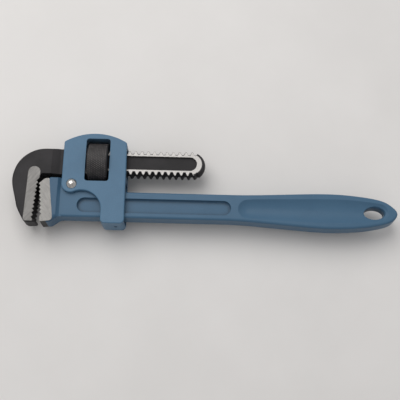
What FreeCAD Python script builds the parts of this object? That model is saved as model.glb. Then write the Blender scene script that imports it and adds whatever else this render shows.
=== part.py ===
import FreeCAD, Part
import math
import os

# Pipe wrench, Stillson pattern, nominal 350 mm, lying flat with the jaws closed.
# The pieces are drawn in the tool frame, in millimetres: X along the handle towards the
# grip, Y across it towards the hook jaw's shank, Z through the flat of the wrench.  X = 0 is
# beside the frame rivet, Y = 0 is the thread axis, and Z = 0 is the middle plane.  Before they are
# written they are shifted together, so that the row's origin is the bottom centre of the box.

# ---- driving dimensions -------------------------------------------------------------------
# thread on the hook jaw's shank and in the nut
PITCH = 5.08
THREAD_R = 11.25
THREAD_DEPTH = 2.3
CREST_WIDTH = 1.0
FLANK_TILT = math.radians(28)
THREAD_GAP = 0.3
FLANK_GAP = 0.2
FIRST_CREST_X = 47.3

# shank
SHANK_HALF = 5.5
SHANK_END_X = 95.3
THREAD_START_X = 9.0
CHANNEL_HALF_WIDTH = 5.7
CHANNEL_DEPTH = 1.8
CHANNEL_END_X = 99.8

# hook jaw
HOOK_HALF = 7.5
HOOK_PAD_HALF = 8.2
HOOK_EDGE_ROUNDING = 1.5
HOOK_TOOTH_DEPTH = 1.5
HOOK_TEETH = 10
HOOK_FIRST_TIP = (-25.9, -19.3)
HOOK_LAST_TIP = (-28.0, -49.5)

# heel jaw
HEEL_HALF = 8.9
HEEL_TOOTH_DEPTH = 1.4
HEEL_TEETH = 9
HEEL_FIRST_TIP = (-25.2, -20.4)
HEEL_LAST_TIP = (-22.7, -47.2)
HEEL_BACK_TOP = (-17.0, -15.8)
HEEL_BACK_BOTTOM = (-12.2, -50.3)
HEEL_TOE = (-22.5, -51.7)
HEEL_CORNER_R = 3.0
TONGUE_HALF = 3.0
TONGUE_X = -9.2
TONGUE_Y = (-41.5, -26.5)
PIN_R = 2.0
PIN_POINT = (-12.3, -34.0)

# adjusting nut
NUT_R = 16.5
NUT_X = (12.2, 28.5)
NUT_CHAMFER = 1.0

# frame
FRAME_HALF = 11.0
FRAME_X = (-7.0, 43.3)
LEG_RIGHT_X = 44.1
DOME_APEX_Y = 22.3
DOME_R = 47.0
WINDOW_X = (10.8, 30.1)
WINDOW_HALF_Y = 17.8
LEG_LEFT_X = 25.2
LEG_BOTTOM_Y = -52.2
BRIDGE_INNER_Y = -49.6
SCOOP_Y = -41.4
LOBE_CENTRE = (0.2, -20.2)
LOBE_R = 7.3
TUNNEL_HALF = 6.2
TUNNEL_Y = (-12.1, 12.1)
SLOT_HALF = 7.9
LEDGE_X = 31.0
LEDGE_BOTTOM_Y = -17.0

# rivet through the frame and the handle
RIVET_X = 1.0
RIVET_Y = -20.5
RIVET_R = 3.0
RIVET_CLEARANCE = 0.06
RIVET_HEAD_R = 4.2
RIVET_HEAD_HEIGHT = 2.3
HEAD_GAP = 0.1

# handle
HEAD_HALF = 9.5
NECK_HALF = 7.4
HEAD_TOP_Y = -15.0
HEAD_BOTTOM_Y = -51.6
HEAD_TOE_X = -17.5
BEAM_START_X = -11.0
BEAM_Y = (-46.6, -25.2)
WEB_X = (5.8, 127.7)
WEB_Y = (-42.7, -30.8)
WEB_DEPTH = 3.0
HANDLE_END_X = 259.0
DISH_DEPTH = 2.5
HOLE_CENTRE = (240.9, -37.3)
HOLE_HALF_LENGTH = 8.0
HOLE_HALF_WIDTH = 4.7
# the rim grows by the first value at the height of the second
EYE_FLARE = ((0.0, 1.5), (0.05, 3.4), (0.3, 4.8), (0.9, 6.2), (2.0, 7.6))
EDGE_ROUNDING = 1.8
HEAD_ROUNDING = 3.0
FRAME_ROUNDING = 0.9
FRAME_SHOULDER_R = 2.0
FRAME_LEG_R = 3.5

# leaf springs and their rivets
SPRING_THICKNESS = 0.6
SPRING_HALF_WIDTH = 4.5
SPRING_RIVET_R = 1.5
SPRING_RIVET_HEAD_R = 2.4
SPRING_RIVET_HEAD = 0.5
ROOF_RECESS_X = (-6.2, 10.8)
ROOF_RECESS_Y = 13.7
ROOF_RIVET_X = 7.0
ROOF_RIVET_LENGTH = 4.6
BRIDGE_RIVET_X = 36.8
BRIDGE_RIVET_SUNK = 0.8

X_AXIS = FreeCAD.Vector(1, 0, 0)
Y_AXIS = FreeCAD.Vector(0, 1, 0)
Z_AXIS = FreeCAD.Vector(0, 0, 1)
ORIGIN = FreeCAD.Vector(0, 0, 0)


# ---- drawing helpers ----------------------------------------------------------------------
def point(x, y, z=0.0):
    return FreeCAD.Vector(x, y, z)


def rounded_edges(corners, closed=True):
    """Lines through (x, y, radius) corners, each corner rounded by a tangent arc."""
    stops = []
    for i, (x, y, radius) in enumerate(corners):
        here = point(x, y)
        if radius == 0:
            stops.append((here, None, here))
            continue
        after = corners[(i + 1) % len(corners)]
        to_before = (point(*corners[i - 1][:2]) - here).normalize()
        to_after = (point(*after[:2]) - here).normalize()
        half_angle = to_before.getAngle(to_after) / 2
        bisector = (to_before + to_after).normalize()
        middle = here + bisector * (radius / math.sin(half_angle) - radius)
        reach = radius / math.tan(half_angle)
        stops.append((here + to_before * reach, middle, here + to_after * reach))
    edges = []
    for i, (start, middle, end) in enumerate(stops):
        if middle is not None:
            edges.append(Part.Arc(start, middle, end).toShape())
        if i + 1 == len(stops) and not closed:
            break
        following = stops[(i + 1) % len(stops)][0]
        if (following - end).Length > 1e-6:
            edges.append(Part.LineSegment(end, following).toShape())
    return edges


def smooth_edge(points, start_direction, end_direction):
    """One spline through the points that leaves and arrives along the given directions."""
    curve = Part.BSplineCurve()
    curve.interpolate(
        Points=[point(*p) for p in points],
        InitialTangent=point(*start_direction),
        FinalTangent=point(*end_direction))
    return curve.toShape()


def plate(edges, z_low, z_high):
    """Solid between two heights over the area that the edges enclose."""
    face = Part.Face(Part.Wire(edges))
    face.translate(point(0, 0, z_low))
    return face.extrude(point(0, 0, z_high - z_low))


def both_sides(edges, half):
    return plate(edges, -half, half)


def side_profile(corners, y_low, y_high):
    """Solid with the closed (x, z, radius) outline, running along Y."""
    solid = plate(rounded_edges(corners), -y_high, -y_low)
    solid.rotate(ORIGIN, X_AXIS, 90)
    return solid


def block(x, y, z):
    return Part.makeBox(x[1] - x[0], y[1] - y[0], z[1] - z[0], point(x[0], y[0], z[0]))


def slot_edges(x_low, x_high, y_low, y_high):
    """Outline of a slot along X with a half circle at each end."""
    radius = (y_high - y_low) / 2
    middle = (y_high + y_low) / 2
    left, right = x_low + radius, x_high - radius
    return [
        Part.LineSegment(point(left, y_low), point(right, y_low)).toShape(),
        Part.Arc(point(right, y_low), point(x_high, middle), point(right, y_high)).toShape(),
        Part.LineSegment(point(right, y_high), point(left, y_high)).toShape(),
        Part.Arc(point(left, y_high), point(x_low, middle), point(left, y_low)).toShape()]


def mirrored(shape):
    """The same shape on the other side of the middle plane."""
    return shape.mirror(ORIGIN, Z_AXIS)


def flat_edges(shape, half):
    """The edges that lie in the two planes z = -half and z = half."""
    found = []
    for edge in shape.Edges:
        box = edge.BoundBox
        if box.ZLength < 1e-6 and abs(abs(box.ZMin) - half) < 1e-6:
            found.append(edge)
    return found


def upright_edges(shape, places):
    """The straight edges along Z that stand at the given (x, y) places."""
    found = []
    for edge in shape.Edges:
        box = edge.BoundBox
        if box.XLength > 1e-6 or box.YLength > 1e-6:
            continue
        if any(math.hypot(box.XMin - x, box.YMin - y) < 1e-3 for x, y in places):
            found.append(edge)
    return found


def saw_points(first_tip, last_tip, count, depth, rise):
    """Roots and tips of a row of teeth; rise is where a root lies between two tips."""
    first = point(*first_tip)
    step = (point(*last_tip) - first) / (count - 1)
    inward = step.cross(Z_AXIS).normalize() * depth
    points = []
    for i in range(count):
        tip = first + step * i
        points.append(tip - step * rise + inward)
        points.append(tip)
    return [(p.x, p.y, 0) for p in points]


def thread_sweep(root_r, top_r, root_width, top_width, turns):
    """A helical ridge about +X, right-hand, whose middle starts at x = 0, y = top_r."""
    helix = Part.makeHelix(PITCH, PITCH * turns, top_r)
    profile = Part.makePolygon([
        point(root_r, 0, -root_width / 2),
        point(top_r, 0, -top_width / 2),
        point(top_r, 0, top_width / 2),
        point(root_r, 0, root_width / 2),
        point(root_r, 0, -root_width / 2)])
    ridge = Part.Wire(helix).makePipeShell([profile], True, True)
    ridge.rotate(ORIGIN, Y_AXIS, 90)
    ridge.rotate(ORIGIN, X_AXIS, 90)
    return ridge


# ---- thread -------------------------------------------------------------------------------
def groove_cutter(side):
    """One short helical groove across the shank's top (side = 1) or bottom edge (-1)."""
    crest_at_root = CREST_WIDTH + 2 * THREAD_DEPTH * math.tan(FLANK_TILT)
    proud = 0.9
    root_width = PITCH - crest_at_root
    top_width = PITCH - CREST_WIDTH + 2 * proud * math.tan(FLANK_TILT)
    sweep_angle = 90.0
    cutter = thread_sweep(
        THREAD_R - THREAD_DEPTH, THREAD_R + proud, root_width, top_width, sweep_angle / 360)
    cutter.translate(point(-PITCH * sweep_angle / 720, 0, 0))
    cutter.rotate(ORIGIN, X_AXIS, -sweep_angle / 2)
    if side < 0:
        cutter.rotate(ORIGIN, X_AXIS, 180)
    return cutter


def crest_x(side):
    """x of a thread crest on the shank's top or bottom edge: half a pitch apart."""
    return FIRST_CREST_X if side < 0 else FIRST_CREST_X - PITCH / 2


# ---- sub-parts ----------------------------------------------------------------------------
def hook_outline():
    """Plan of the hook jaw from the arm's end inside the frame round the back to the teeth."""
    back = smooth_edge(
        [(-20.4, 10.0), (-27.9, 9.2), (-35.7, 5.7), (-42.7, -1.1), (-46.4, -9.5),
         (-47.3, -16.5), (-46.1, -24.2), (-42.7, -36.5), (-38.7, -45.4)],
        (-1, 0), (0.5, -0.865))
    teeth = saw_points(HOOK_FIRST_TIP, HOOK_LAST_TIP, HOOK_TEETH, HOOK_TOOTH_DEPTH, 0.45)
    inner = [(-38.7, -45.4, 0), (-34.9, -51.9, 5.0), (-26.3, -51.6, 1.0), (-26.1, -49.9, 0)]
    inner += teeth[::-1]
    inner += [(-25.2, -15.6, 0), (-24.9, -THREAD_R, 2.5), (THREAD_START_X, -THREAD_R, 0),
              (THREAD_START_X, 10.0, 0), (-20.4, 10.0, 0)]
    return [back] + rounded_edges(inner, closed=False)


def hook_jaw():
    """Upper jaw: arm, toothed pad and flat shank threaded along both edges."""
    body = both_sides(hook_outline(), HOOK_HALF)
    outer = [edge for edge in flat_edges(body, HOOK_HALF)
             if edge.CenterOfMass.y > 0 or edge.CenterOfMass.x < -37]
    body = body.makeFillet(HOOK_EDGE_ROUNDING, outer)
    taper = side_profile([
        (-60, -HOOK_HALF - 1, 0), (-20, -HOOK_HALF - 1, 0), (-10, -SHANK_HALF, 3),
        (20, -SHANK_HALF, 0), (20, SHANK_HALF, 0), (-10, SHANK_HALF, 3),
        (-20, HOOK_HALF + 1, 0), (-60, HOOK_HALF + 1, 0)], -60, 20)
    body = body.common(taper)

    pad_area = rounded_edges([
        (-34.5, -5.8, 4.7), (-24.8, -5.8, 4.7), (-24.7, -20.0, 0), (-24.7, -48.4, 0),
        (-28.3, -48.4, 0), (-28.4, -51.1, 0.5), (-35.8, -51.1, 2.2)])
    pad = both_sides(pad_area, HOOK_PAD_HALF).common(both_sides(hook_outline(), HOOK_PAD_HALF))

    shank = Part.makeCylinder(THREAD_R, SHANK_END_X - THREAD_START_X + 1,
                              point(THREAD_START_X - 1, 0), X_AXIS)
    shank = shank.fuse(Part.makeSphere(THREAD_R, point(SHANK_END_X, 0)))
    shank = shank.common(block((0, 120), (-20, 20), (-SHANK_HALF, SHANK_HALF)))

    jaw = body.fuse([pad, shank]).removeSplitter()
    grooves = []
    for side in (-1, 1):
        cutter = groove_cutter(side)
        first = crest_x(side) - PITCH / 2
        first -= PITCH * math.floor((first - THREAD_START_X - 1) / PITCH)
        count = int((SHANK_END_X + 6 - first) / PITCH) + 1
        for i in range(count):
            groove = cutter.copy()
            groove.translate(point(first + PITCH * i, 0))
            grooves.append(groove)
    channel = plate(
        slot_edges(THREAD_START_X, CHANNEL_END_X, -CHANNEL_HALF_WIDTH, CHANNEL_HALF_WIDTH),
        SHANK_HALF - CHANNEL_DEPTH, SHANK_HALF + 1)
    return jaw.cut(grooves + [channel, mirrored(channel)])


def heel_jaw():
    """Toothed insert in the heel head, with a tongue behind it for the cross pin."""
    teeth = saw_points(HEEL_FIRST_TIP, HEEL_LAST_TIP, HEEL_TEETH, -HEEL_TOOTH_DEPTH, 0.5)[1:]
    outline = [(*HEEL_BACK_TOP, 0.8), (-20.4, -15.9, 3.5)] + teeth
    outline += [(*HEEL_TOE, 0.8), (*HEEL_BACK_BOTTOM, HEEL_CORNER_R)]
    jaw = both_sides(rounded_edges(outline), HEEL_HALF)
    tongue = block((-17.5, TONGUE_X), TONGUE_Y, (-TONGUE_HALF, TONGUE_HALF))
    jaw = jaw.fuse(tongue).removeSplitter()
    return jaw.cut(Part.makeCylinder(PIN_R, 2 * TONGUE_HALF, point(*PIN_POINT, -TONGUE_HALF)))


def heel_jaw_pin():
    """Pin driven in from the underside; it stops short of the upper face."""
    return Part.makeCylinder(PIN_R, HEAD_HALF + TONGUE_HALF + 2, point(*PIN_POINT, -HEAD_HALF))


def beam_outline():
    """Plan of the neck, the I-beam and the grip, from inside the heel head to the end."""
    top_y, bottom_y = BEAM_Y[1], BEAM_Y[0]
    grip = smooth_edge(
        [(127, top_y), (155, -24.5), (178, -23.4), (200, -22.6), (216, -22.9), (232, -24.4),
         (243, -26.2), (250.2, -28.6), (255.4, -32.2), (HANDLE_END_X, -37.2),
         (257.2, -41.9), (252.6, -45.1), (245.5, -47.3), (233.5, -49.6), (220, -50.9),
         (206, -51.4), (182, -50.2), (152, -48.0), (122, bottom_y)],
        (1, 0), (-1, 0))
    neck = [(122, bottom_y, 0), (BEAM_START_X, bottom_y, 0), (BEAM_START_X, HEAD_TOP_Y, 0),
            (7.0, HEAD_TOP_Y, 4.0), (11.0, -17.7, 4.0), (27.0, -17.7, 5.0),
            (32.0, top_y, 5.0), (127, top_y, 0)]
    return rounded_edges(neck, closed=False) + [grip]


def seat_edges():
    """Plan of the L-shaped seat that holds the heel jaw."""
    return rounded_edges([
        (*HEEL_BACK_TOP, 0), (*HEEL_BACK_BOTTOM, HEEL_CORNER_R), (*HEEL_TOE, 0),
        (-40, HEEL_TOE[1], 0), (-40, 0, 0), (HEEL_BACK_TOP[0], 0, 0)])


def heel_head():
    """Thick end of the handle with the L-shaped seat; its inner face slopes to the neck."""
    outline = [
        (-5.5, BEAM_Y[0], 0), (-8.0, BEAM_Y[0], 5.0), (-15.0, HEAD_BOTTOM_Y, 5.0),
        (HEAD_TOE_X, HEAD_BOTTOM_Y, 0), (HEAD_TOE_X, -40, 0), (HEEL_BACK_TOP[0], -40, 0),
        (HEEL_BACK_TOP[0], HEAD_TOP_Y, 1.2), (-5.5, HEAD_TOP_Y, 0)]
    head = both_sides(rounded_edges(outline), HEAD_HALF)
    lower = [edge for edge in flat_edges(head, HEAD_HALF)
             if edge.CenterOfMass.y < -46.5 and edge.CenterOfMass.x > HEAD_TOE_X + 0.2]
    head = head.makeFillet(HEAD_ROUNDING, lower)
    upper = [edge for edge in flat_edges(head, HEAD_HALF)
             if edge.CenterOfMass.y > HEAD_TOP_Y - 1 and edge.CenterOfMass.x < -6]
    head = head.makeFillet(1.0, upper)
    slope = side_profile([
        (-40, -HEAD_HALF - 1, 0), (-10.6, -HEAD_HALF - 1, 0), (-10.2, -HEAD_HALF, 0),
        (-7.9, -NECK_HALF, 1.2), (-5.6, -NECK_HALF + 0.5, 0), (-5.6, NECK_HALF - 0.5, 0),
        (-7.9, NECK_HALF, 1.2), (-10.2, HEAD_HALF, 0), (-10.6, HEAD_HALF + 1, 0),
        (-40, HEAD_HALF + 1, 0)], -60, 0)
    seat = both_sides(seat_edges(), HEAD_HALF + 1)
    return head.common(slope).cut(seat)


def dish(side_half):
    """Shallow trough in the grip: circular sections, closed by a ball at each end."""
    stations = [(141.0, -36.9, 7.7), (165.0, -37.0, 8.8), (190.0, -37.0, 9.5),
                (210.0, -36.9, 9.7), (228.0, -37.0, 9.0), (244.6, -37.2, 7.2)]
    top = side_half + 3
    sections = []
    for x, y, half_width in stations:
        left = point(x, y - half_width, side_half)
        right = point(x, y + half_width, side_half)
        bottom = point(x, y, side_half - DISH_DEPTH)
        left_top = point(x, y - half_width - 2, top)
        right_top = point(x, y + half_width + 2, top)
        sections.append(Part.Wire([
            Part.Arc(left, bottom, right).toShape(),
            Part.LineSegment(right, right_top).toShape(),
            Part.LineSegment(right_top, left_top).toShape(),
            Part.LineSegment(left_top, left).toShape()]))
    tool = Part.makeLoft(sections, True)
    for x, y, half_width in (stations[0], stations[-1]):
        radius = (half_width ** 2 + DISH_DEPTH ** 2) / (2 * DISH_DEPTH)
        ball = Part.makeSphere(radius, point(x, y, side_half - DISH_DEPTH + radius))
        tool = tool.fuse(ball)
    return tool


def hole_outline(flare, z):
    """Outline of the hanging hole, wider by flare all round, at the height z."""
    oval = Part.Ellipse(point(*HOLE_CENTRE, z), HOLE_HALF_LENGTH + flare,
                        HOLE_HALF_WIDTH + flare)
    return Part.Wire([oval.toShape()])


def hang_eye():
    """The hole in the grip's end: an oval that flares to a rounded rim on both sides."""
    rim = Part.makeLoft([hole_outline(flare, z) for flare, z in EYE_FLARE], True)
    waist_z = EYE_FLARE[0][1]
    waist = Part.Face(hole_outline(0, -waist_z)).extrude(point(0, 0, 2 * waist_z))
    return waist.fuse([rim, mirrored(rim)])


def handle():
    """Heel head, neck, I-beam and grip in one forging."""
    beam = both_sides(beam_outline(), NECK_HALF)
    long_edges = [edge for edge in flat_edges(beam, NECK_HALF)
                  if edge.CenterOfMass.x > BEAM_START_X + 0.5]
    beam = beam.makeFillet(EDGE_ROUNDING, long_edges)
    body = beam.fuse(heel_head()).removeSplitter()

    web = plate(slot_edges(*WEB_X, *WEB_Y), NECK_HALF - WEB_DEPTH, NECK_HALF + 1)
    web = web.makeFillet(1.2, flat_edges(web, NECK_HALF - WEB_DEPTH))
    trough = dish(NECK_HALF)
    tongue_seat = block((-18, TONGUE_X), TONGUE_Y, (-TONGUE_HALF, TONGUE_HALF))
    cross_hole = Part.makeCylinder(
        PIN_R, HEAD_HALF + TONGUE_HALF + 2, point(*PIN_POINT, -HEAD_HALF))
    rivet_hole = Part.makeCylinder(RIVET_R, 30, point(RIVET_X, RIVET_Y, -15))
    body = body.cut([web, mirrored(web), trough, mirrored(trough), hang_eye()])
    return body.cut([tongue_seat, cross_hole, rivet_hole])


def frame_outline():
    """Plan of the frame: dome, square back, leg to the bridge, scoop and rivet lobe."""
    left, right = FRAME_X
    dome_x = (left + right) / 2
    shoulder_y = DOME_APEX_Y - DOME_R + math.sqrt(DOME_R ** 2 - (right - dome_x) ** 2)
    # the scoop is tangent to the leg's inner edge and to the lobe round the rivet
    lobe_x, lobe_y = LOBE_CENTRE
    run, rise = LEG_LEFT_X - lobe_x, SCOOP_Y - lobe_y
    scoop_r = (run ** 2 + rise ** 2 - LOBE_R ** 2) / (2 * (run + LOBE_R))
    scoop_x = LEG_LEFT_X - scoop_r
    touch = LOBE_R / (scoop_r + LOBE_R)
    touch_point = point(lobe_x + (scoop_x - lobe_x) * touch, lobe_y + rise * touch)
    half_way = math.atan2(touch_point.y - SCOOP_Y, touch_point.x - scoop_x) / 2
    scoop_middle = point(
        scoop_x + scoop_r * math.cos(half_way), SCOOP_Y + scoop_r * math.sin(half_way))
    lobe_bottom = point(lobe_x - LOBE_R * math.sin(0.6), lobe_y - LOBE_R * math.cos(0.6))
    lobe_end = point(left, lobe_y + math.sqrt(LOBE_R ** 2 - (lobe_x - left) ** 2))
    corners = [point(left, shoulder_y), point(right, shoulder_y),
               point(LEG_RIGHT_X, LEG_BOTTOM_Y), point(LEG_LEFT_X, LEG_BOTTOM_Y),
               point(LEG_LEFT_X, SCOOP_Y)]
    return [
        Part.Arc(corners[0], point(dome_x, DOME_APEX_Y), corners[1]).toShape(),
        Part.LineSegment(corners[1], corners[2]).toShape(),
        Part.LineSegment(corners[2], corners[3]).toShape(),
        Part.LineSegment(corners[3], corners[4]).toShape(),
        Part.Arc(corners[4], scoop_middle, touch_point).toShape(),
        Part.Arc(touch_point, lobe_bottom, lobe_end).toShape(),
        Part.LineSegment(lobe_end, corners[0]).toShape()]


def frame():
    """Loop casting that holds the hook jaw's shank and the nut and hangs on the rivet."""
    edges = frame_outline()
    body = both_sides(edges, FRAME_HALF)
    shoulder_y = edges[0].Vertexes[0].Y
    body = body.makeFillet(FRAME_SHOULDER_R, upright_edges(body, [
        (FRAME_X[0], shoulder_y), (FRAME_X[1], shoulder_y)]))
    body = body.makeFillet(FRAME_LEG_R, upright_edges(body, [
        (LEG_RIGHT_X, LEG_BOTTOM_Y), (LEG_LEFT_X, LEG_BOTTOM_Y)]))
    body = body.makeFillet(FRAME_ROUNDING, flat_edges(body, FRAME_HALF))

    through = (FRAME_X[0] - 2, FRAME_X[1] + 2)
    tunnel = block(through, TUNNEL_Y, (-TUNNEL_HALF, TUNNEL_HALF))
    roof_recess = block(ROOF_RECESS_X, (0, ROOF_RECESS_Y), (-TUNNEL_HALF, TUNNEL_HALF))
    handle_slot = block((FRAME_X[0] - 2, LEDGE_X), (BRIDGE_INNER_Y, TUNNEL_Y[0]),
                        (-SLOT_HALF, SLOT_HALF))
    back_slot = block((LEDGE_X - 1, FRAME_X[1] + 2), (BRIDGE_INNER_Y, LEDGE_BOTTOM_Y),
                      (-SLOT_HALF, SLOT_HALF))
    window = block(WINDOW_X, (-WINDOW_HALF_Y, WINDOW_HALF_Y), (-15, 15))
    window = window.makeFillet(2.4, upright_edges(
        window, [(x, y) for x in WINDOW_X for y in (-WINDOW_HALF_Y, WINDOW_HALF_Y)]))
    rivet_hole = Part.makeCylinder(
        RIVET_R + RIVET_CLEARANCE, 30, point(RIVET_X, RIVET_Y, -15))
    roof_hole = Part.makeCylinder(
        SPRING_RIVET_R, ROOF_RIVET_LENGTH,
        point(ROOF_RIVET_X, ROOF_RECESS_Y - SPRING_THICKNESS), Y_AXIS)
    bridge_hole = Part.makeCylinder(
        SPRING_RIVET_R, 10, point(BRIDGE_RIVET_X, LEG_BOTTOM_Y - 1), Y_AXIS)
    return body.cut([tunnel, roof_recess, handle_slot, back_slot, window, rivet_hole,
                     roof_hole, bridge_hole])


def frame_rivet():
    """Domed rivet through the frame and the handle; it turns in the frame, not the handle."""
    reach = FRAME_HALF + HEAD_GAP
    rivet = Part.makeCylinder(RIVET_R, 2 * reach, point(RIVET_X, RIVET_Y, -reach))
    ball_r = (RIVET_HEAD_R ** 2 + RIVET_HEAD_HEIGHT ** 2) / (2 * RIVET_HEAD_HEIGHT)
    ball = Part.makeSphere(ball_r, point(RIVET_X, RIVET_Y, reach + RIVET_HEAD_HEIGHT - ball_r))
    head = ball.common(block((-10, 10), (RIVET_Y - 10, RIVET_Y + 10), (reach, reach + 5)))
    return rivet.fuse([head, mirrored(head)]).removeSplitter()


def adjusting_nut():
    """Nut with a right-hand thread to match the shank's edges; the knurl stays plain here."""
    width = NUT_X[1] - NUT_X[0]
    nut = Part.makeCylinder(NUT_R, width, point(NUT_X[0], 0), X_AXIS)
    nut = nut.makeChamfer(NUT_CHAMFER, nut.Edges)
    bore_r = THREAD_R - THREAD_DEPTH + THREAD_GAP
    crest_at_bore = CREST_WIDTH + 2 * (THREAD_R - bore_r + 0.5) * math.tan(FLANK_TILT)
    crest_at_top = CREST_WIDTH - 2 * THREAD_GAP * math.tan(FLANK_TILT)
    start_x = crest_x(1) - PITCH * math.ceil((crest_x(1) - NUT_X[0]) / PITCH + 0.6)
    turns = math.ceil((NUT_X[1] - start_x) / PITCH) + 1
    groove = thread_sweep(bore_r - 0.5, THREAD_R + THREAD_GAP, crest_at_bore + 2 * FLANK_GAP,
                          crest_at_top + 2 * FLANK_GAP, turns)
    groove.translate(point(start_x, 0))
    bore = Part.makeCylinder(bore_r, width + 2, point(NUT_X[0] - 1, 0), X_AXIS)
    return nut.cut(groove).cut(bore)


def roof_spring():
    """Leaf spring in the roof: a flat tab under the rivet, then a leaf bent to the shank."""
    low = ROOF_RECESS_Y - 2.1
    top = [(ROOF_RECESS_X[1] - 0.4, ROOF_RECESS_Y, 0), (3.6, ROOF_RECESS_Y, 2.0),
           (-2.5, low + SPRING_THICKNESS, 2.0), (ROOF_RECESS_X[0] + 0.4, low + 1.1, 0)]
    bottom = [(x, y - SPRING_THICKNESS, radius) for x, y, radius in reversed(top)]
    spring = both_sides(rounded_edges(top + bottom), SPRING_HALF_WIDTH)
    return spring.cut(Part.makeCylinder(
        SPRING_RIVET_R, 4, point(ROOF_RIVET_X, ROOF_RECESS_Y - 2), Y_AXIS))


def spring_rivet(x, spring_y, outward, length):
    """Rivet from its thin head on the spring's face at spring_y; outward is 1 or -1 along Y."""
    direction = Y_AXIS * outward
    head = Part.makeCylinder(SPRING_RIVET_HEAD_R, SPRING_RIVET_HEAD,
                             point(x, spring_y - outward * SPRING_RIVET_HEAD), direction)
    shaft = Part.makeCylinder(SPRING_RIVET_R, length, point(x, spring_y), direction)
    return head.fuse(shaft).removeSplitter()


def bridge_spring():
    """Leaf spring under the handle: a tab on the bridge and a leaf that presses up."""
    low = BRIDGE_INNER_Y
    top = [(40.5, low + SPRING_THICKNESS, 0), (32.0, low + SPRING_THICKNESS, 2.0),
           (25.4, low + 2.6, 0)]
    bottom = [(x, y - SPRING_THICKNESS, radius) for x, y, radius in reversed(top)]
    spring = both_sides(rounded_edges(top + bottom), SPRING_HALF_WIDTH)
    return spring.cut(Part.makeCylinder(
        SPRING_RIVET_R, 4, point(BRIDGE_RIVET_X, low - 1), Y_AXIS))


def make_nodes():
    return {
        "handle": handle(),
        "heel_jaw": heel_jaw(),
        "heel_jaw_pin": heel_jaw_pin(),
        "frame_rivet": frame_rivet(),
        "frame": frame(),
        "roof_spring": roof_spring(),
        "roof_spring_rivet": spring_rivet(
            ROOF_RIVET_X, ROOF_RECESS_Y - SPRING_THICKNESS, 1, ROOF_RIVET_LENGTH),
        "bridge_spring": bridge_spring(),
        "bridge_spring_rivet": spring_rivet(
            BRIDGE_RIVET_X, BRIDGE_INNER_Y + SPRING_THICKNESS, -1,
            BRIDGE_INNER_Y + SPRING_THICKNESS - LEG_BOTTOM_Y - BRIDGE_RIVET_SUNK),
        "adjusting_nut": adjusting_nut(),
        "hook_jaw": hook_jaw(),
    }


def main():
    nodes = make_nodes()
    box = Part.makeCompound(list(nodes.values())).optimalBoundingBox(False, False)
    shift = point(-(box.XMin + box.XMax) / 2, -(box.YMin + box.YMax) / 2, -box.ZMin)
    os.makedirs("parts", exist_ok=True)
    for name, solid in nodes.items():
        solid.translate(shift)
        solid.exportStep(f"parts/{name}.step")
        print(name, "valid" if solid.isValid() else "INVALID", round(solid.Volume, 1), "mm3")
    print("box", [round(v, 3) for v in (box.XLength, box.YLength, box.ZLength)])
    print("shift", [round(v, 4) for v in shift])


main()
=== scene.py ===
# %% [markdown]
# # A pipe wrench in paint, black oxide and ground steel
# The shapes of this wrench come from a CAD model that is loaded as a fixed frame, so this
# lesson is mostly about finishes: sprayed paint over a casting, black oxide, freshly ground
# steel, and a knurl that is cut as real geometry.  Every length below is in metres.

# %% Load the frame
import bmesh
import bpy
import math
import numpy as np
from mathutils import Matrix, Vector


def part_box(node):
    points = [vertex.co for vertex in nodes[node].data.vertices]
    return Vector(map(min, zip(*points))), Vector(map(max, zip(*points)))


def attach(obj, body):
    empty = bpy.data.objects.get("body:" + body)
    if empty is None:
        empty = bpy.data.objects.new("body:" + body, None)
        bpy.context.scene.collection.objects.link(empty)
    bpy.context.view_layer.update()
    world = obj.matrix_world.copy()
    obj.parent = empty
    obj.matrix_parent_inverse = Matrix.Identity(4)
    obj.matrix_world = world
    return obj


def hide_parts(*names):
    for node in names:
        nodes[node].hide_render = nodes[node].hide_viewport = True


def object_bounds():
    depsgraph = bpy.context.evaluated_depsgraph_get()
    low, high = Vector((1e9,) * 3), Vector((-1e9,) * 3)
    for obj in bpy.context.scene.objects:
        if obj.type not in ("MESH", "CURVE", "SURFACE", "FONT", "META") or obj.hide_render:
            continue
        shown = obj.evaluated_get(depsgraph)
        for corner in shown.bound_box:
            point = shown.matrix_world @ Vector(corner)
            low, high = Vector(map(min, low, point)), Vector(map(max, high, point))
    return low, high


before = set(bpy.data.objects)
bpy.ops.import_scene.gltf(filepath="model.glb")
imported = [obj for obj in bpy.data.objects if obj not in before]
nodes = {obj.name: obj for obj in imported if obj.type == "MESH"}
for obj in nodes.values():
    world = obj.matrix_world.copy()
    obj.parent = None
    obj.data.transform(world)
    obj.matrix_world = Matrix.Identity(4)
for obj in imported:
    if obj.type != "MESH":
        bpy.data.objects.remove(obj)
cad_low, cad_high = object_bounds()
print("CAD pieces:", sorted(nodes))

# %% [markdown]
# ## Places on the wrench
# Masks such as "the ground side of the tooth pad" are easiest as positions.  Object texture
# coordinates are fixed to each piece and follow it when a joint moves, so a few heights and
# lengths, measured once from the CAD pieces, are all that the materials need.

# %% Measure the pieces that the masks depend on
MM = 0.001
hook_low, hook_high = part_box("hook_jaw")
heel_low, heel_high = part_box("heel_jaw")
nut_low, nut_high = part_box("adjusting_nut")
frame_low, frame_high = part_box("frame")
mid_z = (nut_low.z + nut_high.z) / 2
nut_axis = Vector(((nut_low.x + nut_high.x) / 2, (nut_low.y + nut_high.y) / 2, mid_z))
pad_half = (hook_high.z - hook_low.z) / 2
print("middle plane", round(mid_z, 4), "pad half thickness", round(pad_half, 4))

# %% [markdown]
# ## The camera
# A product picture of a flat tool is taken from nearly straight above.  The camera stands a
# little off the vertical, so that the near walls of the castings show and the wrench reads as
# solid.  It is placed by turning one vector, so its angles can be read straight off.

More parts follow.
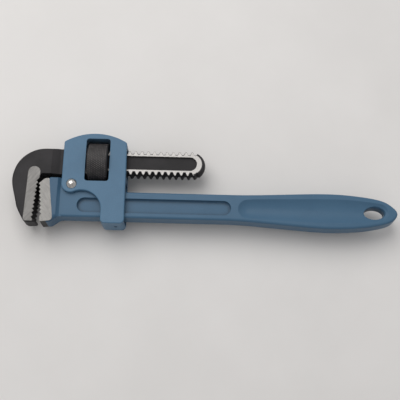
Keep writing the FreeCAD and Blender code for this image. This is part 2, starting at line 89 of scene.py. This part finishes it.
# %% Camera above the wrench
VIEW_ELEVATION = math.radians(73)
VIEW_TURN = math.radians(1.52)
VIEW_DISTANCE = 0.664
camera_back = Vector((
    math.sin(VIEW_TURN) * math.cos(VIEW_ELEVATION),
    -math.cos(VIEW_TURN) * math.cos(VIEW_ELEVATION),
    math.sin(VIEW_ELEVATION)))
box_centre = (cad_low + cad_high) / 2
camera_target = Vector((box_centre.x - 2.85 * MM, box_centre.y - 13.25 * MM, mid_z))
camera_data = bpy.data.cameras.new("camera")
camera_data.lens = 74.7
camera = bpy.data.objects.new("camera", camera_data)
camera.location = camera_target + camera_back * VIEW_DISTANCE
camera.rotation_mode = "QUATERNION"
camera.rotation_quaternion = (-camera_back).to_track_quat("-Z", "Y")
bpy.context.scene.collection.objects.link(camera)
bpy.context.scene.camera = camera
print("camera at", [round(c, 3) for c in camera.location])

# %% [markdown]
# ## Short words for shader nodes
# A material is a small program whose steps are nodes.  These helpers add one node each and
# give back its output, so that a material below reads like a formula.

# %% Helpers that add one shader node each
def add_node(tree, kind, **settings):
    made = tree.nodes.new(kind)
    for name, value in settings.items():
        setattr(made, name, value)
    return made


def feed(tree, socket, value):
    """Joins an output to a socket, or sets the socket to a plain value."""
    if isinstance(value, bpy.types.NodeSocket):
        tree.links.new(value, socket)
    else:
        socket.default_value = value


def compute(tree, operation, *values):
    made = add_node(tree, "ShaderNodeMath", operation=operation)
    for socket, value in zip(made.inputs, values):
        feed(tree, socket, value)
    return made.outputs[0]


def ramp(tree, value, low, high, to_low=0.0, to_high=1.0):
    """Maps low..high smoothly to to_low..to_high and clamps outside."""
    made = add_node(tree, "ShaderNodeMapRange", interpolation_type="SMOOTHSTEP")
    for name, number in (("From Min", low), ("From Max", high),
                         ("To Min", to_low), ("To Max", to_high)):
        feed(tree, made.inputs[name], number)
    feed(tree, made.inputs["Value"], value)
    return made.outputs["Result"]


def blend_colours(tree, factor, first, second, how="MIX"):
    made = add_node(tree, "ShaderNodeMix", data_type="RGBA", blend_type=how)
    feed(tree, made.inputs[0], factor)
    feed(tree, made.inputs[6], first)
    feed(tree, made.inputs[7], second)
    return made.outputs[2]


def noise(tree, vector, scale, detail=3.0, rough=0.5):
    made = add_node(tree, "ShaderNodeTexNoise")
    feed(tree, made.inputs["Vector"], vector)
    for name, value in (("Scale", scale), ("Detail", detail), ("Roughness", rough)):
        feed(tree, made.inputs[name], value)
    return made.outputs["Fac"]


def piece_position(tree):
    """The point on the piece, and its x, y and z, in metres."""
    where = add_node(tree, "ShaderNodeTexCoord").outputs["Object"]
    split = add_node(tree, "ShaderNodeSeparateXYZ")
    tree.links.new(where, split.inputs[0])
    return where, split.outputs[0], split.outputs[1], split.outputs[2]


def start_group(name, inputs, outputs):
    """An empty node group with named sockets; inputs are (name, kind, default)."""
    tree = bpy.data.node_groups.new(name, "ShaderNodeTree")
    for label, kind, default in inputs:
        socket = tree.interface.new_socket(label, in_out="INPUT", socket_type=kind)
        socket.default_value = default
    for label, kind in outputs:
        tree.interface.new_socket(label, in_out="OUTPUT", socket_type=kind)
    return tree, tree.nodes.new("NodeGroupInput"), tree.nodes.new("NodeGroupOutput")


def place_group(tree, group, **values):
    """Puts a node group in a material; spaces in socket names are written as _ here."""
    made = add_node(tree, "ShaderNodeGroup", node_tree=group)
    for name, value in values.items():
        feed(tree, made.inputs[name.replace("_", " ")], value)
    return made.outputs


FLOAT = "NodeSocketFloat"

# %% [markdown]
# ## Edge wear
# Handling rubs paint and oxide off sharp edges first.  The Bevel node gives the normal that a
# slightly rounded edge would have.  Where that differs from the true normal there is an edge,
# and a noise breaks it up so that the wear is patchy.

# %% Node group: edge wear
edge_wear, given, result = start_group(
    "edge wear",
    [("Radius", FLOAT, 0.0004), ("Patch Size", FLOAT, 220.0), ("Amount", FLOAT, 0.5)],
    [("Mask", FLOAT)])
where = piece_position(edge_wear)[0]
soft_normal = add_node(edge_wear, "ShaderNodeBevel", samples=6)
edge_wear.links.new(given.outputs["Radius"], soft_normal.inputs["Radius"])
true_normal = add_node(edge_wear, "ShaderNodeNewGeometry").outputs["Normal"]
likeness = add_node(edge_wear, "ShaderNodeVectorMath", operation="DOT_PRODUCT")
edge_wear.links.new(soft_normal.outputs[0], likeness.inputs[0])
edge_wear.links.new(true_normal, likeness.inputs[1])
edge = ramp(edge_wear, compute(edge_wear, "SUBTRACT", 1.0, likeness.outputs["Value"]),
            0.02, 0.16)
patches = noise(edge_wear, where, given.outputs["Patch Size"], 4.0, 0.65)
threshold = compute(edge_wear, "SUBTRACT", 1.0, given.outputs["Amount"])
patchy = ramp(edge_wear, patches, threshold, compute(edge_wear, "ADD", threshold, 0.12))
edge_wear.links.new(compute(edge_wear, "MULTIPLY", edge, patchy), result.inputs["Mask"])
print("group made:", edge_wear.name)

# %% [markdown]
# ## Cast grain
# Sand leaves a fine pebbled skin on a casting, and paint softens it without hiding it.  Two
# sizes of noise make it: broad swells a few millimetres wide and grains under a millimetre.
# The same noises shift the colour a little, because paint pools between the grains.

# %% Node group: cast grain
cast_grain, given, result = start_group(
    "cast grain",
    [("Grain Size", FLOAT, 1800.0), ("Swell Size", FLOAT, 140.0)],
    [("Height", FLOAT), ("Pooling", FLOAT), ("Blotches", FLOAT)])
where = piece_position(cast_grain)[0]
grains = noise(cast_grain, where, given.outputs["Grain Size"], 2.0, 0.55)
swells = noise(cast_grain, where, given.outputs["Swell Size"], 3.0, 0.5)
height = compute(cast_grain, "ADD", compute(cast_grain, "MULTIPLY", grains, 0.35), swells)
cast_grain.links.new(height, result.inputs["Height"])
cast_grain.links.new(ramp(cast_grain, grains, 0.62, 0.36), result.inputs["Pooling"])
blotches = noise(cast_grain, where, 38.0, 4.0, 0.6)
cast_grain.links.new(ramp(cast_grain, blotches, 0.32, 0.68), result.inputs["Blotches"])
print("group made:", cast_grain.name)

# %% [markdown]
# ## Grinding lines
# A belt or wheel leaves straight, nearly parallel scratches.  A noise squeezed in one
# direction gives them: the coordinates are turned, then stretched, before the noise reads them.

# %% Node group: grinding lines
grinding, given, result = start_group(
    "grinding lines",
    [("Angle", FLOAT, 0.6), ("Fineness", FLOAT, 6000.0)],
    [("Lines", FLOAT), ("Clouds", FLOAT)])
where = piece_position(grinding)[0]
turn = add_node(grinding, "ShaderNodeVectorRotate", rotation_type="Z_AXIS")
grinding.links.new(where, turn.inputs["Vector"])
grinding.links.new(given.outputs["Angle"], turn.inputs["Angle"])
squeeze = add_node(grinding, "ShaderNodeMapping")
grinding.links.new(turn.outputs[0], squeeze.inputs["Vector"])
squeeze.inputs["Scale"].default_value = (0.045, 1.0, 0.3)
fine_lines = noise(grinding, squeeze.outputs[0], given.outputs["Fineness"], 2.0, 0.6)
coarse_lines = noise(grinding, squeeze.outputs[0],
                     compute(grinding, "MULTIPLY", given.outputs["Fineness"], 0.35), 2.0, 0.5)
both_lines = compute(grinding, "ADD", compute(grinding, "MULTIPLY", fine_lines, 0.5),
                     compute(grinding, "MULTIPLY", coarse_lines, 0.5))
grinding.links.new(ramp(grinding, both_lines, 0.36, 0.64), result.inputs["Lines"])
grinding.links.new(noise(grinding, where, 160.0, 3.0, 0.6), result.inputs["Clouds"])
print("group made:", grinding.name)

# %% [markdown]
# ## Painted shade and grime in corners
# Corners, creases and recesses are darkened in the colour: this is painted shade, and it also
# stands for oil and dust that settle where a cloth can't reach.  Ambient occlusion finds those
# places: it is low in a corner and high on an open face.

# %% Node group: painted corner shade and grime
corner_shade_and_grime, given, result = start_group(
    "corner_shade_and_grime",
    [("Reach", FLOAT, 0.004), ("Amount", FLOAT, 0.6)],
    [("Mask", FLOAT)])
where = piece_position(corner_shade_and_grime)[0]
open_sky = add_node(corner_shade_and_grime, "ShaderNodeAmbientOcclusion", samples=6, only_local=True)
corner_shade_and_grime.links.new(given.outputs["Reach"], open_sky.inputs["Distance"])
corner = ramp(corner_shade_and_grime, open_sky.outputs["AO"], 0.95, 0.45)
speckle = ramp(corner_shade_and_grime, noise(corner_shade_and_grime, where, 420.0, 4.0, 0.6), 0.3, 0.6, 0.55, 1.0)
corner = compute(corner_shade_and_grime, "MULTIPLY", compute(corner_shade_and_grime, "MULTIPLY", corner, speckle),
                 given.outputs["Amount"])
corner_shade_and_grime.links.new(corner, result.inputs["Mask"])
print("group made:", corner_shade_and_grime.name)

# %% [markdown]
# ## The finish of a piece
# Each material is one Principled shader.  The bump that it gets starts from a Bevel normal,
# so every edge catches a thin line of light, as a real edge with a small radius does.

# %% Start a material and give it to a piece
def start_material(name, metallic=0.0, edge_radius=0.0004):
    """A material with a Principled shader and a Bump node whose edges are softened."""
    material = bpy.data.materials.new(name)
    material.use_nodes = True
    tree = material.node_tree
    shader = tree.nodes["Principled BSDF"]
    shader.inputs["Metallic"].default_value = metallic
    rounded = add_node(tree, "ShaderNodeBevel", samples=6)
    rounded.inputs["Radius"].default_value = edge_radius
    bump = add_node(tree, "ShaderNodeBump")
    tree.links.new(rounded.outputs[0], bump.inputs["Normal"])
    tree.links.new(bump.outputs[0], shader.inputs["Normal"])
    return material, tree, shader, bump


def finish_piece(piece, material):
    """The piece gets this material alone."""
    piece.data.materials.clear()
    piece.data.materials.append(material)
    print(piece.name, "is finished in", material.name)


# %% [markdown]
# ## Blue paint
# The frame and the handle are castings sprayed with the same blue.  The handle's copy of that blue
# is darker, as painted
# shade.  The paint is satin: it has a soft highlight and no clear reflection.  Colour is kept as a
# middle tone, a darker one for pools, painted shade with some grime in corners, and bare metal
# where an edge has been rubbed.

# %% Paint for the frame and for the handle
PAINT_BLUE = (0.082, 0.168, 0.262, 1)
# The handle's blue is the frame's blue made darker: painted shade.
HANDLE_BLUE_SHADED = (0.060, 0.130, 0.208, 1)
PAINT_SHADE = (0.034, 0.078, 0.135, 1)
# Dark colour for corners and creases: painted shade, with some grime.
PAINT_SHADE_AND_GRIME = (0.025, 0.04, 0.06, 1)
BARE_METAL = (0.30, 0.29, 0.28, 1)


def paint_material(name, body_colour, wear, grain_height, local_shade=None):
    """Sprayed blue over a casting; local_shade(tree) may give a mask of darker places."""
    material, tree, shader, bump = start_material(name, edge_radius=0.0004)
    shader.inputs["Specular IOR Level"].default_value = 0.2
    grain = place_group(tree, cast_grain)
    colour = blend_colours(
        tree, compute(tree, "MULTIPLY", grain["Blotches"], 0.16), body_colour, PAINT_SHADE)
    colour = blend_colours(
        tree, compute(tree, "MULTIPLY", grain["Pooling"], 0.14), colour, PAINT_SHADE)
    if local_shade is not None:
        colour = blend_colours(tree, local_shade(tree), colour, PAINT_SHADE)
    # Corners and creases are darkened in the colour: painted shade, with some grime.
    shade_and_dirt = place_group(tree, corner_shade_and_grime, Reach=0.0035, Amount=0.75)["Mask"]
    colour = blend_colours(tree, shade_and_dirt, colour, PAINT_SHADE_AND_GRIME)
    worn = place_group(tree, edge_wear, Radius=0.0005, Amount=wear)["Mask"]
    colour = blend_colours(tree, worn, colour, BARE_METAL)
    tree.links.new(colour, shader.inputs["Base Color"])
    tree.links.new(worn, shader.inputs["Metallic"])
    tree.links.new(ramp(tree, grain["Pooling"], 0.0, 1.0, 0.4, 0.3), shader.inputs["Roughness"])
    tree.links.new(grain["Height"], bump.inputs["Height"])
    bump.inputs["Distance"].default_value = grain_height
    bump.inputs["Strength"].default_value = 0.5
    return material


WEB_HALF = 4.4 * MM


def recess_shade_and_head_band(tree):
    """Painted shade in the beam's recess, and a darker band on the head behind the heel jaw."""
    where, x, y, z = piece_position(tree)
    from_middle = compute(tree, "ABSOLUTE", compute(tree, "SUBTRACT", z, mid_z))
    in_recess = ramp(tree, from_middle, WEB_HALF + 0.8 * MM, WEB_HALF + 0.1 * MM)
    band_start, band_end = heel_high.x - 1.2 * MM, heel_high.x + 1.2 * MM
    in_band = ramp(tree, x, band_end, band_start)
    recess = compute(tree, "MULTIPLY", in_recess, 0.1)
    band = compute(tree, "MULTIPLY", in_band, 0.5)
    return compute(tree, "MAXIMUM", recess, band)


frame_paint = paint_material("frame_paint", PAINT_BLUE, 0.4, 0.0002)
handle_paint = paint_material(
    "handle_paint", HANDLE_BLUE_SHADED, 0.4, 0.0003, recess_shade_and_head_band)
finish_piece(nodes["frame"], frame_paint)
finish_piece(nodes["handle"], handle_paint)

# %% [markdown]
# ## Ground steel
# The heel jaw is hardened steel ground flat after fitting.  It is bright grey with diagonal
# lines, and the sides of the teeth, which the wheel can't reach, stay dark; their very dark colour
# is also painted shade for the deep gap between the jaws.

# %% Colour and height of ground steel, for both jaws
def ground_colour(tree, angle, dark, light):
    """Colour, roughness and line height of ground steel with lines at an angle."""
    lines = place_group(tree, grinding, Angle=angle)
    tone = blend_colours(tree, lines["Lines"], dark, light)
    clouds = ramp(tree, lines["Clouds"], 0.35, 0.7, 0.0, 0.35)
    tone = blend_colours(tree, clouds, tone, dark)
    rough = ramp(tree, lines["Lines"], 0.0, 1.0, 0.5, 0.42)
    return tone, rough, lines["Lines"]


def side_face_mask(tree, half, softness=0.0001):
    """1 on the flat sides at this distance from the middle plane, or beyond it."""
    from_middle = compute(
        tree, "ABSOLUTE", compute(tree, "SUBTRACT", piece_position(tree)[3], mid_z))
    return ramp(tree, from_middle, half - softness, half)


# Unground steel made very dark: partly its own colour, partly painted shade for the gap between
# the jaws.
DARK_STEEL_AND_SHADE = (0.045, 0.043, 0.042, 1)
heel_half = (heel_high.z - heel_low.z) / 2

heel_steel, tree, shader, bump = start_material("heel_steel", 1.0, 0.0003)
tone, rough, lines = ground_colour(
    tree, 0.9, (0.16, 0.157, 0.152, 1), (0.225, 0.22, 0.212, 1))
on_side = side_face_mask(tree, heel_half - 0.00015)
worn_tips = place_group(tree, edge_wear, Radius=0.0005, Amount=0.7)["Mask"]
bright = compute(tree, "MAXIMUM", on_side, compute(tree, "MULTIPLY", worn_tips, 0.6))
tree.links.new(blend_colours(tree, bright, DARK_STEEL_AND_SHADE, tone), shader.inputs["Base Color"])
tree.links.new(rough, shader.inputs["Roughness"])
tree.links.new(lines, bump.inputs["Height"])
bump.inputs["Distance"].default_value = 0.00004
bump.inputs["Strength"].default_value = 0.5
finish_piece(nodes["heel_jaw"], heel_steel)

# %% [markdown]
# ## Black oxide with ground places
# The hook jaw is blackened all over, then its tooth pads and the rims of its shank are ground
# bright.  Those places stand proud, so their distance from the middle plane picks them out.
# The wheel misses the shank's rounded end, so a black border stays outside the rim there.

# %% The hook jaw
SHANK_START_X = (frame_low.x + frame_high.x) / 2 - 8 * MM
SHANK_HALF = 5.5 * MM
SHANK_END_R = 11.25 * MM
SHANK_ROUND_X = hook_high.x - SHANK_END_R
RIM_OUTER_R = 8.5 * MM
RIM_STEEL = (0.36, 0.35, 0.34, 1)
hook_black, tree, shader, bump = start_material("hook_black", 0.0, 0.0005)
shader.inputs["Specular IOR Level"].default_value = 0.18
pad_tone, rough, lines = ground_colour(
    tree, 2.3, (0.115, 0.112, 0.109, 1), (0.175, 0.171, 0.166, 1))
grain = place_group(tree, cast_grain, Grain_Size=2600.0, Swell_Size=200.0)
black = blend_colours(tree, grain["Blotches"], (0.020, 0.019, 0.020, 1), (0.030, 0.028, 0.030, 1))
worn = place_group(tree, edge_wear, Radius=0.0005, Amount=0.42)["Mask"]
black = blend_colours(tree, compute(tree, "MULTIPLY", worn, 0.5), black, (0.22, 0.21, 0.20, 1))
x, y = piece_position(tree)[1:3]
on_pad = side_face_mask(tree, pad_half - 0.0001)
on_shank = compute(tree, "MULTIPLY", side_face_mask(tree, SHANK_HALF - 0.0001),
                   ramp(tree, x, SHANK_START_X, SHANK_START_X + 0.001))
past_end = compute(tree, "MAXIMUM", 0.0, compute(tree, "SUBTRACT", x, SHANK_ROUND_X))
from_end = compute(tree, "SQRT", compute(
    tree, "ADD", compute(tree, "POWER", past_end, 2.0),
    compute(tree, "POWER", compute(tree, "SUBTRACT", y, nut_axis.y), 2.0)))
bevel = compute(tree, "MULTIPLY", ramp(tree, past_end, 0.001, 0.003),
                ramp(tree, from_end, RIM_OUTER_R - 0.2 * MM, RIM_OUTER_R + 0.2 * MM))
on_shank = compute(tree, "MULTIPLY", on_shank, compute(tree, "SUBTRACT", 1.0, bevel))
ground = compute(tree, "MAXIMUM", on_pad, on_shank)
tone = blend_colours(tree, on_pad, RIM_STEEL, pad_tone)
tree.links.new(blend_colours(tree, ground, black, tone), shader.inputs["Base Color"])
tree.links.new(ground, shader.inputs["Metallic"])
oxide_rough = ramp(tree, grain["Pooling"], 0.0, 1.0, 0.5, 0.6)
roughness = add_node(tree, "ShaderNodeMix", data_type="FLOAT")
feed(tree, roughness.inputs[0], ground)
feed(tree, roughness.inputs[2], oxide_rough)
feed(tree, roughness.inputs[3], rough)
tree.links.new(roughness.outputs[0], shader.inputs["Roughness"])
relief = add_node(tree, "ShaderNodeMix", data_type="FLOAT")
feed(tree, relief.inputs[0], ground)
feed(tree, relief.inputs[2], grain["Height"])
feed(tree, relief.inputs[3], compute(tree, "MULTIPLY", lines, 0.4))
tree.links.new(relief.outputs[0], bump.inputs["Height"])
bump.inputs["Distance"].default_value = 0.0001
bump.inputs["Strength"].default_value = 0.5
finish_piece(nodes["hook_jaw"], hook_black)

# %% [markdown]
# ## The knurled nut
# The nut's rim carries a diamond knurl, so that fingers can turn it.  Two families of grooves
# cross at 30 degrees to the axis and leave small pyramids.  A bump map would look flat from
# the side, so the pyramids are geometry.  On a grid with four steps to each diamond, every
# pyramid's tip and every groove's floor falls exactly on a grid point.  A cylinder with this
# surface is then cut to the CAD nut's bore, thread and chamfers by a Boolean intersection.

# %% A cylinder with a diamond knurl
KNURL_STARTS = 68
KNURL_DEPTH = 0.5 * MM
KNURL_HELIX = math.radians(30)
STEPS_PER_DIAMOND = 4
nut_radius = (nut_high.z - nut_low.z) / 2
diamond_length = 2 * math.pi * nut_radius / KNURL_STARTS / math.tan(KNURL_HELIX)


def triangle_wave(turns):
    """0 at whole numbers and 1 half-way between them."""
    return 2 * np.abs(turns - np.round(turns))


def knurled_cylinder(start_x, end_x):
    """Closed mesh around the nut's axis, with triangles whose edges follow the grooves."""
    around = KNURL_STARTS * STEPS_PER_DIAMOND
    step_x = diamond_length / STEPS_PER_DIAMOND
    rings = int((end_x - start_x) / step_x)
    first_x = (start_x + end_x - rings * step_x) / 2
    grid_x = np.concatenate([[start_x], first_x + np.arange(rings + 1) * step_x, [end_x]])
    row, column = np.meshgrid(np.arange(rings + 1), np.arange(around), indexing="ij")
    along, turn = row / STEPS_PER_DIAMOND, column / STEPS_PER_DIAMOND
    drop = np.maximum(triangle_wave(along + turn), triangle_wave(along - turn))
    radius = nut_radius - KNURL_DEPTH * drop
    radius = np.vstack([radius[:1], radius, radius[-1:]])
    angle = 2 * math.pi * np.arange(around) / around
    corners = np.stack([
        np.repeat(grid_x[:, None], around, 1),
        nut_axis.y + radius * np.cos(angle),
        nut_axis.z + radius * np.sin(angle)], axis=-1).reshape(-1, 3)
    faces = []
    for ring in range(len(grid_x) - 1):
        for step in range(around):
            a, b = ring * around + step, ring * around + (step + 1) % around
            c, d = b + around, a + around
            if radius[ring, step] + radius[ring + 1, (step + 1) % around] \
                    < radius[ring + 1, step] + radius[ring, (step + 1) % around]:
                faces += [(a, b, c), (a, c, d)]
            else:
                faces += [(a, b, d), (b, c, d)]
    last = (len(grid_x) - 1) * around
    faces.append(tuple(reversed(range(around))))
    faces.append(tuple(range(last, last + around)))
    mesh = bpy.data.meshes.new("knurled_cylinder")
    mesh.from_pydata(corners.tolist(), [], faces)
    mesh.update()
    return mesh


FACE_SKIN = 0.02 * MM
blank_mesh = knurled_cylinder(nut_low.x + FACE_SKIN, nut_high.x - FACE_SKIN)
print("knurl:", len(blank_mesh.polygons), "faces, diamonds", round(diamond_length * 1000, 2), "mm")

# %% Cut the knurled cylinder to the nut's own form
CUTTER_SCALE = 1.015
cutter_mesh = nodes["adjusting_nut"].data.copy()
to_axis = Matrix.Translation(-nut_axis)
wider = Matrix.Diagonal((1.0, CUTTER_SCALE, CUTTER_SCALE, 1.0))
cutter_mesh.transform(Matrix.Translation(nut_axis) @ wider @ to_axis)
welder = bmesh.new()
welder.from_mesh(cutter_mesh)
bmesh.ops.remove_doubles(welder, verts=welder.verts, dist=0.001 * MM)
welder.to_mesh(cutter_mesh)
welder.free()
cutter = bpy.data.objects.new("nut_cutter", cutter_mesh)
knurled_nut = bpy.data.objects.new("knurled_nut", blank_mesh)
for made in (cutter, knurled_nut):
    bpy.context.scene.collection.objects.link(made)
cut = knurled_nut.modifiers.new("nut form", "BOOLEAN")
cut.operation, cut.solver, cut.object = "INTERSECT", "EXACT", cutter
bpy.context.view_layer.update()
ready = knurled_nut.evaluated_get(bpy.context.evaluated_depsgraph_get())
cut_mesh = bpy.data.meshes.new_from_object(ready)
knurled_nut.modifiers.clear()
knurled_nut.data = cut_mesh
bpy.data.objects.remove(cutter)
cut_mesh.shade_smooth()
cut_mesh.set_sharp_from_angle(angle=math.radians(28))
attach(knurled_nut, "nut")
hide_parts("adjusting_nut")
print("nut:", len(cut_mesh.vertices), "points,", len(cut_mesh.polygons), "faces")

# %% [markdown]
# ## Oxide on the knurl
# The nut is blackened like the hook jaw.  Fingers polish the tips of the knurl to a brownish
# grey, and the grooves stay black.  The distance from the nut's axis tells tips from grooves.

# %% The nut's black oxide
nut_black, tree, shader, bump = start_material("nut_black", 0.0, 0.0001)
shader.inputs["Specular IOR Level"].default_value = 0.4
where, x, y, z = piece_position(tree)
from_axis = compute(tree, "SQRT", compute(
    tree, "ADD",
    compute(tree, "POWER", compute(tree, "SUBTRACT", y, nut_axis.y), 2.0),
    compute(tree, "POWER", compute(tree, "SUBTRACT", z, nut_axis.z), 2.0)))
at_tip = ramp(tree, from_axis, nut_radius - 0.27 * MM, nut_radius - 0.08 * MM)
rubbed = ramp(tree, noise(tree, where, 300.0, 3.0, 0.6), 0.35, 0.65, 0.35, 1.0)
grain = place_group(tree, cast_grain, Grain_Size=2600.0, Swell_Size=260.0)
black = blend_colours(tree, grain["Blotches"], (0.004, 0.004, 0.004, 1), (0.008, 0.007, 0.008, 1))
colour = blend_colours(tree, compute(tree, "MULTIPLY", at_tip, rubbed), black,
                       (0.24, 0.215, 0.215, 1))
# The knurl's grooves and the nut's corners are darkened in the colour: painted shade, with some
# grime.
shade_and_dirt = place_group(tree, corner_shade_and_grime, Reach=0.0012, Amount=0.5)["Mask"]
tree.links.new(blend_colours(tree, shade_and_dirt, colour, (0.01, 0.01, 0.01, 1)),
               shader.inputs["Base Color"])
tree.links.new(ramp(tree, at_tip, 0.0, 1.0, 0.5, 0.36), shader.inputs["Roughness"])
tree.links.new(grain["Height"], bump.inputs["Height"])
bump.inputs["Distance"].default_value = 0.00004
bump.inputs["Strength"].default_value = 0.4
finish_piece(knurled_nut, nut_black)
finish_piece(nodes["adjusting_nut"], nut_black)

# %% [markdown]
# ## Rivets, pin and springs
# The small steel parts differ mostly in how they were last worked.  The rivet's head was
# upset and polished, with faint dents.  The pin is turned steel.  The springs are blue-grey
# strip, straight from the roll, so their lines run along the strip.

# %% Rivet, pins and springs
rivet_steel, tree, shader, bump = start_material("rivet_steel", 1.0, 0.0003)
where = piece_position(tree)[0]
dents = noise(tree, where, 900.0, 2.0, 0.5)
stain = ramp(tree, noise(tree, where, 500.0, 4.0, 0.65), 0.42, 0.7, 0.0, 0.7)
colour = blend_colours(tree, stain, (0.55, 0.54, 0.52, 1), (0.26, 0.23, 0.21, 1))
# Where the rivet's head meets the frame the colour darkens: painted shade, with some grime.
shade_and_dirt = place_group(tree, corner_shade_and_grime, Reach=0.0015, Amount=0.8)["Mask"]
tree.links.new(blend_colours(tree, shade_and_dirt, colour, (0.05, 0.045, 0.04, 1)),
               shader.inputs["Base Color"])
tree.links.new(ramp(tree, stain, 0.0, 1.0, 0.2, 0.42), shader.inputs["Roughness"])
tree.links.new(dents, bump.inputs["Height"])
bump.inputs["Distance"].default_value = 0.00012
bump.inputs["Strength"].default_value = 0.5
finish_piece(nodes["frame_rivet"], rivet_steel)

pin_steel, tree, shader, bump = start_material("pin_steel", 1.0, 0.0002)
lines = place_group(tree, grinding, Angle=1.57, Fineness=3600.0)
tree.links.new(blend_colours(tree, lines["Lines"], (0.30, 0.29, 0.28, 1), (0.48, 0.47, 0.45, 1)),
               shader.inputs["Base Color"])
tree.links.new(ramp(tree, lines["Clouds"], 0.3, 0.7, 0.3, 0.48), shader.inputs["Roughness"])
tree.links.new(lines["Lines"], bump.inputs["Height"])
bump.inputs["Distance"].default_value = 0.00002
for name in ("heel_jaw_pin", "roof_spring_rivet", "bridge_spring_rivet"):
    finish_piece(nodes[name], pin_steel)

spring_steel, tree, shader, bump = start_material("spring_steel", 1.0, 0.0001)
lines = place_group(tree, grinding, Angle=0.0, Fineness=3000.0)
tone = blend_colours(tree, lines["Lines"], (0.16, 0.18, 0.22, 1), (0.30, 0.32, 0.36, 1))
tree.links.new(blend_colours(tree, ramp(tree, lines["Clouds"], 0.4, 0.7, 0.0, 0.5), tone,
                             (0.22, 0.17, 0.12, 1)), shader.inputs["Base Color"])
tree.links.new(ramp(tree, lines["Lines"], 0.0, 1.0, 0.42, 0.28), shader.inputs["Roughness"])
tree.links.new(lines["Lines"], bump.inputs["Height"])
bump.inputs["Distance"].default_value = 0.00002
for name in ("roof_spring", "bridge_spring"):
    finish_piece(nodes[name], spring_steel)

# %% [markdown]
# ## Floor and light
# The wrench lies on a plain pale sheet.  One large soft light hangs over it, a little beyond
# and to the left, so shadows stay short and soft and the sheet darkens towards the near right.
# A weak second light and a pale surrounding light fill the shadows.

# %% Floor
FLOOR_SIDE = 6.0
floor_mesh = bpy.data.meshes.new("floor")
half = FLOOR_SIDE / 2
floor_mesh.from_pydata(
    [(-half, -half, 0), (half, -half, 0), (half, half, 0), (-half, half, 0)], [], [(0, 1, 2, 3)])
floor = bpy.data.objects.new("floor", floor_mesh)
floor.location.z = cad_low.z
bpy.context.scene.collection.objects.link(floor)
floor_paper, tree, shader, bump = start_material("floor_paper")
where = piece_position(tree)[0]
clouds = ramp(tree, noise(tree, where, 9.0, 4.0, 0.55), 0.3, 0.7)
tree.links.new(blend_colours(tree, clouds, (0.66, 0.645, 0.63, 1), (0.70, 0.685, 0.67, 1)),
               shader.inputs["Base Color"])
tree.links.new(ramp(tree, clouds, 0.0, 1.0, 0.6, 0.7), shader.inputs["Roughness"])
tree.links.new(noise(tree, where, 1400.0, 3.0, 0.6), bump.inputs["Height"])
bump.inputs["Distance"].default_value = 0.00005
finish_piece(floor, floor_paper)

# %% Lights
def area_light(name, place, size, power, warmth=(1, 1, 1)):
    """A square light that looks at the middle of the wrench."""
    data = bpy.data.lights.new(name, "AREA")
    data.size, data.energy, data.color = size, power, warmth
    light = bpy.data.objects.new(name, data)
    light.location = box_centre + Vector(place)
    light.rotation_mode = "QUATERNION"
    light.rotation_quaternion = (-Vector(place)).to_track_quat("-Z", "Y")
    bpy.context.scene.collection.objects.link(light)
    print(name, power, "W at", place)


area_light("key", (-0.35, 0.5, 1.0), 1.1, 9.5, (1.0, 0.985, 0.965))
area_light("fill", (0.9, 0.9, 0.9), 0.8, 1.0)
world = bpy.data.worlds.new("studio")
world.use_nodes = True
world.node_tree.nodes["Background"].inputs["Color"].default_value = (0.985, 0.985, 1.0, 1)
world.node_tree.nodes["Background"].inputs["Strength"].default_value = 0.52
bpy.context.scene.world = world
bpy.context.scene.view_settings.view_transform = "Standard"
